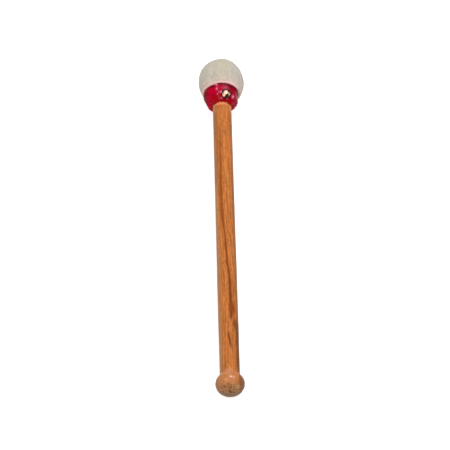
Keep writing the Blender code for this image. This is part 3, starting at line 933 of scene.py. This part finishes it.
azimuths = azimuthsOf(felt["columns"])
grid = spun(section, azimuths)
outer = (np.arange(len(section)) < len(crown) + len(rolled))[:, None]
push, away = swelling(grid)
lumps = softNoise(grid, *felt["lumps"]) + softNoise(grid, *felt["fineLumps"])
# Above the rim the first gathers show as shallow waves that fade upwards
fade = np.exp(-np.maximum(grid[..., 2] - rimLevel, 0) / felt["gatherFade"])
waves = np.cos(felt["pleats"] * azimuths + 1.4 * np.sin(2 * azimuths)) * fade
lumps = lumps + felt["gathers"] * (waves - .5)
grid = np.where(outer[..., None], grid + push + away * lumps[..., None], grid)
# Below the rim: uneven pleats, one less the cosine of the pleat count times the azimuth
drop = rimLevel - grid[..., 2]
held = tied(drop)
pleatDepth = felt["pleatDepth"] * eased(drop / felt["drawIn"]) * (1 - held) + felt["tiedPleatDepth"] * held
uneven = .75 + softNoise(outward(azimuths) * .02, *felt["uneven"])
fold = pleatDepth * uneven * (1 - np.cos(felt["pleats"] * azimuths + .35 * np.sin(3 * azimuths))) / 2
shift = bunched(azimuths, drop) * (1 - held) - fold - felt["skirtInset"] * (drop > felt["insetFrom"])
gathered = ~outer & (drop > felt["gatherFrom"]) & (section[:, :1] > sleeve + gap)
below = pressed(grid + outward(azimuths) * shift[..., None], lapOffset + leather + gap)
grid = slipped(np.where(gathered[..., None], below, grid))
feltPiece = surface("felt_head", aboveFloor(grid), sharp=180)

# Off-white pressed wool: mottled warm and cool, matted fibres, painted light that brightens it
# towards the rim, and a painted pale pink highlight along the lip
wool = dict(
    warm=tone(202, 193, 171), cool=tone(206, 203, 191), rosy=tone(202, 193, 191),
    dusty=tone(180, 172, 153), fibre=tone(228, 220, 204), streak=tone(232, 210, 198),
    blush=tone(218, 197, 180), lip=tone(255, 210, 206),
)


def feltLook(name, matted):
    material, shader, spot = newMaterial(
        name, Roughness=1, Sheen_Weight=.08, Sheen_Roughness=.6, Specular_IOR_Level=.1,
        Sheen_Tint=(1, .98, .94, 1))
    x, y, z = addNode("SeparateXYZ", {0: spot}).outputs
    tuck = tuckLevel / mm
    colour = mixed(step(x, -18, 16), wool["cool"], wool["rosy"])
    colour = mixed(step(maths("ABSOLUTE", x), 4, 17, .85, .2), colour, wool["warm"])
    clumps = noise(spot, (.55, .55, .28), 3, .6)
    colour = layered(
        colour, wool,
        warm=step(noise(spot, .09, 3, .5, .4), .45, .75, 0, .5),
        # painted light towards the rim
        blush=step(z, tuck + 2, tuck + 11, .7, 0),
        dusty=step(clumps, .48, .7, 0, .38),
        fibre=step(clumps, .3, .46, .3, 0),
    )
    # Drawn tight by the gathers, it shows streaks that fade towards the crown
    streaks = noise(spot, (.6, .6, .03), 3, .6)
    drawn = step(z, tuck + 2, tuck + 22, .55, .12)
    colour = layered(
        colour, wool,
        dusty=times(step(streaks, .47, .66), drawn),
        streak=times(step(streaks, .34, .5, 1, 0), drawn),
    )
    matting = noise(spot, 1.6, 5, .7, .6)
    colour = layered(
        colour, wool,
        dusty=step(matting, .5, .75, 0, .45),
        fibre=step(matting, .3, .45, .45, 0),
        # a painted pale pink highlight along the lip
        lip=times(step(z, tuck + .7, tuck + 1.8, .95, 0), step(x, 8, 17, 1, .5)),
    )
    connect(shader, Base_Color=colour)
    if matted:
        height = scaled(noise(spot, 4.5, 4, .7, 1.2), .4, matting)
        connect(shader, Normal=bumped(height, .0003, .7))
    return material


dress(feltPiece, feltLook("headFelt", True), "felt_cover")

# Loose fibres of the felt's nap: thin three-sided strands that curl away from the surface.
# Roots are spread evenly, and each strand leans along a seeded tangent.
nap = dict(
    count=5200, rows=5, seed=5, length=.0011, sizes=(.4, 1), radius=.000028, point=.92,
    sink=.0003, tilts=(.5, 1.35), curl=.7, clear=6,
)

random = np.random.default_rng(nap["seed"])
count = nap["count"]
sine = random.uniform(sin(radians(tuckLatitude + nap["clear"])), 1, count)
azimuth = random.uniform(0, tau, count)
roots = outward(azimuth) * (headRadius * np.sqrt(1 - sine ** 2))[:, None]
roots[:, 2] = headCentre + headHalf * sine
push, away = swelling(roots)
normal = unit((roots - (0, 0, headCentre)) / np.array((headRadius, headRadius, headHalf)) ** 2)
tangent = unit(np.cross(normal, random.normal(size=(count, 3))))
binormal = np.cross(normal, tangent)
tilt = random.uniform(*nap["tilts"], count)[:, None]
size = nap["length"] * random.uniform(*nap["sizes"], count)[:, None, None]
share = np.linspace(0, 1, nap["rows"])
bend = tilt + nap["curl"] * share
share = share[:, None]
# Each strand's middle line: out along the normal by the cosine of its lean, aside by the sine
line = (roots + push)[:, None] - normal[:, None] * nap["sink"]
line = line + size * share * circled(bend, normal[:, None], tangent[:, None])
ring = circled(azimuthsOf(3), binormal[:, None, None], normal[:, None, None])
thick = nap["radius"] * (1 - nap["point"] * share)[..., None]
napPiece = surface("felt_nap", aboveFloor(line[:, :, None] + ring * thick), sharp=180)
dress(napPiece, feltLook("napWool", False))

# Wadding shell between the felt and the core, lumpy all over
padding = dict(lumps=(.003, 51, .00012), columns=160)
lowPadding = lowHalf - gap
room = padding["lumps"][-1]
outside = np.concatenate((
    spheroid(padRadius - room, padTop - room, 90, 0, 30),
    spheroid(padRadius - room, lowPadding, 0, latitudeOf(-coreRise, lowPadding), 16)[1:],
))
hollow = spheroid(padInside, padInsideTop, latitudeOf(-coreRise, padInsideTop), 90, 36)
grid = spun(np.concatenate((outside, hollow)), azimuthsOf(padding["columns"]))
away = unit(grid - (0, 0, headCentre))
soft = (np.arange(len(grid)) < len(outside) - 2)[:, None]
grid += away * (softNoise(grid, *padding["lumps"]) * soft)[..., None]
paddingPiece = surface("wadding_shell", grid, sharp=60)
material, shader, spot = newMaterial("wadding", Roughness=1, Sheen_Weight=.3, Sheen_Roughness=.5)
wisps = noise(spot, .8, 5, .7, 1.5)
colour = mixed(step(wisps, .35, .65), tone(222, 218, 206), tone(188, 180, 164))
connect(shader, Base_Color=colour, Normal=bumped(wisps, .0006, .8))
dress(paddingPiece, material, "padding")

# Twine: two plies twisted together along a helix. A ply's middle circles the helix once for
# each twist length, at the ply's offset, and thins out to nothing at both ends.
turn = np.linspace(0, twine["turns"] * tau, twine["steps"] + 1)
helixRadius = tiedRadius + gap + twine["radius"]
radial = outward(turn)
middle = radial * helixRadius
middle[:, 2] = rimLevel - bindingStart - gap - twine["radius"] - twinePitch * turn / tau
upward = np.cross(unit(np.gradient(middle, axis=0)), radial)
twist = turn * helixRadius / twine["twist"] * tau
swell = twine["plyRadius"] * np.sqrt(np.clip(np.minimum(turn, turn[-1] - turn) / twine["endTurn"], 0, 1))
around = circled(azimuthsOf(twine["sides"]), radial[:, None], upward[:, None]) * swell[:, None, None]
plies = [
    (middle + twine["plyOffset"] * circled(twist + phase, radial, upward))[:, None] + around
    for phase in (0, pi)
]
twinePiece = surface("plied_twine", np.array(plies), sharp=180)
material, shader, spot = newMaterial("flaxTwine", Roughness=.85, Sheen_Weight=.2)
strands = noise(spot, (3, 3, 9), 4, .6)
colour = mixed(step(strands, .35, .65), tone(206, 186, 146), tone(154, 128, 86))
connect(shader, Base_Color=colour, Normal=bumped(strands, .0001, .8))
dress(twinePiece, material, "binding_twine")

# Domed nail: the head is a thin cap with a rolled rim, on a pointed shank. Each dent has its
# place as shares of the head's radius, its depth and its spread.
nail = dict(
    length=.013, shankRadius=.0008, height=.0022, wall=.0006, rim=.00028,
    columns=96, domeSteps=40,
    dents=((.45, -.5, .00012, .0011), (-.6, .35, .00008, .0013)),
)
ball = (capRadius ** 2 + nail["height"] ** 2) / (2 * nail["height"])
middle = nail["height"] - ball + gap
edgeLatitude = latitudeOf(gap + nail["rim"] - middle, ball)
innerBall = ball - nail["wall"]
shank = nail["shankRadius"]
root = degrees(acos(shank / innerBall))
dome = spheroid(ball, ball, 90, edgeLatitude + 2, nail["domeSteps"], centre=middle)
section = np.concatenate((
    dome,
    arc((capRadius - nail["rim"], gap + nail["rim"]), nail["rim"], 20, -90, 8),
    spheroid(innerBall, innerBall, latitudeOf(gap - middle, innerBall), root, 16, centre=middle)[1:],
    straight((shank, 0), (shank, 4 * shank - nail["length"]), 12),
    [(0, -nail["length"])],
))
grid = spun(section, azimuthsOf(nail["columns"]))
for aside, ahead, depth, spread in nail["dents"]:
    away = np.hypot(grid[..., 0] - aside * capRadius, grid[..., 1] - ahead * capRadius)
    grid[:len(dome), :, 2] -= depth * bell(away / spread)[:len(dome)]
# Stood on the flat that it presses: its own X stays across the mallet
seat = nailTop - nailAxis * mallet["nailPress"]
across = unit(np.cross((0, 0, 1), nailAxis))
grid = seat + grid @ np.stack((across, np.cross(nailAxis, across), nailAxis))
nailPiece = surface("domed_nail", grid, sharp=40)

# Worn bright on top, dark round the edge with old polish and painted shade, and dark in patches of
# painted reflection, each given by its place in millimetres, where it is darkest and where it ends.
# A painted glint keeps one spot lighter.
brass = dict(
    bright=tone(246, 208, 180), warm=tone(222, 148, 116), tarnish=tone(44, 12, 2),
    dark=((5, -15.4, 303.6, 1.5, 2.4), (7.2, -15.4, 308.8, 1.9, 2.8), (1.2, -16.8, 308.4, .9, 1.9)),
    clean=(1.1, -15.1, 304.4), crownHeight=.001,
)
material, shader, spot = newMaterial("domedBrass", Metallic=1, Roughness=.2)
headSpot = ((seat + nailAxis * brass["crownHeight"]) / mm).tolist()
wear = noise(spot, .55, 4, .6, .5)
dirt = maths("SUBTRACT", 1, near(spot, headSpot, 2.8, 3.8))
ragged = frayed(spot, 1.2, 1.6)
# dark patches of painted reflection
for *place, inner, outer in brass["dark"]:
    dirt = maths("MAXIMUM", dirt, near(ragged, place, inner, outer))
# a painted glint keeps this spot lighter
cleaned = maths("SUBTRACT", .97, near(spot, brass["clean"], .6, 2.4, .85))
colour = mixed(step(wear, .4, .65), brass["bright"], brass["warm"])
colour = mixed(times(dirt, cleaned), colour, brass["tarnish"])
connect(shader, Base_Color=colour, Roughness=step(wear, .35, .7, .16, .38),
        Normal=bumped(noise(spot, (6, .8, 2), 3), .00003, .4))
dress(nailPiece, material, "collar_nail")

# Materials of the hidden pieces that keep their solids
coreWood, shader, spot = newMaterial("coreWood", Roughness=.65)
rings = growth(spot, .12, 3, .6, wave_type="BANDS", bands_direction="X")
fibres = noise(spot, (2, 2, .08), 4, .6)
colour = mixed(rings, tone(216, 182, 132), tone(184, 142, 90))
colour = mixed(step(fibres, .4, .65, 0, .6), colour, tone(150, 108, 64))
connect(shader, Base_Color=colour, Normal=bumped(fibres, .0002, .5))

plainSteel, shader, spot = newMaterial("plainSteel", Metallic=1, Roughness=.3)
polish = noise(spot, (1.5, 1.5, 6), 4, .6)
colour = mixed(step(polish, .35, .7), tone(196, 196, 194), tone(142, 140, 136))
connect(shader, Base_Color=colour, Roughness=step(polish, .3, .7, .22, .42),
        Normal=bumped(polish, .00005, .5))

for name, look in (("head_core", coreWood), ("core_screw", plainSteel), ("core_washer", plainSteel)):
    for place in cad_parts[name].material_slots:
        place.material = look
print("hidden pieces finished")
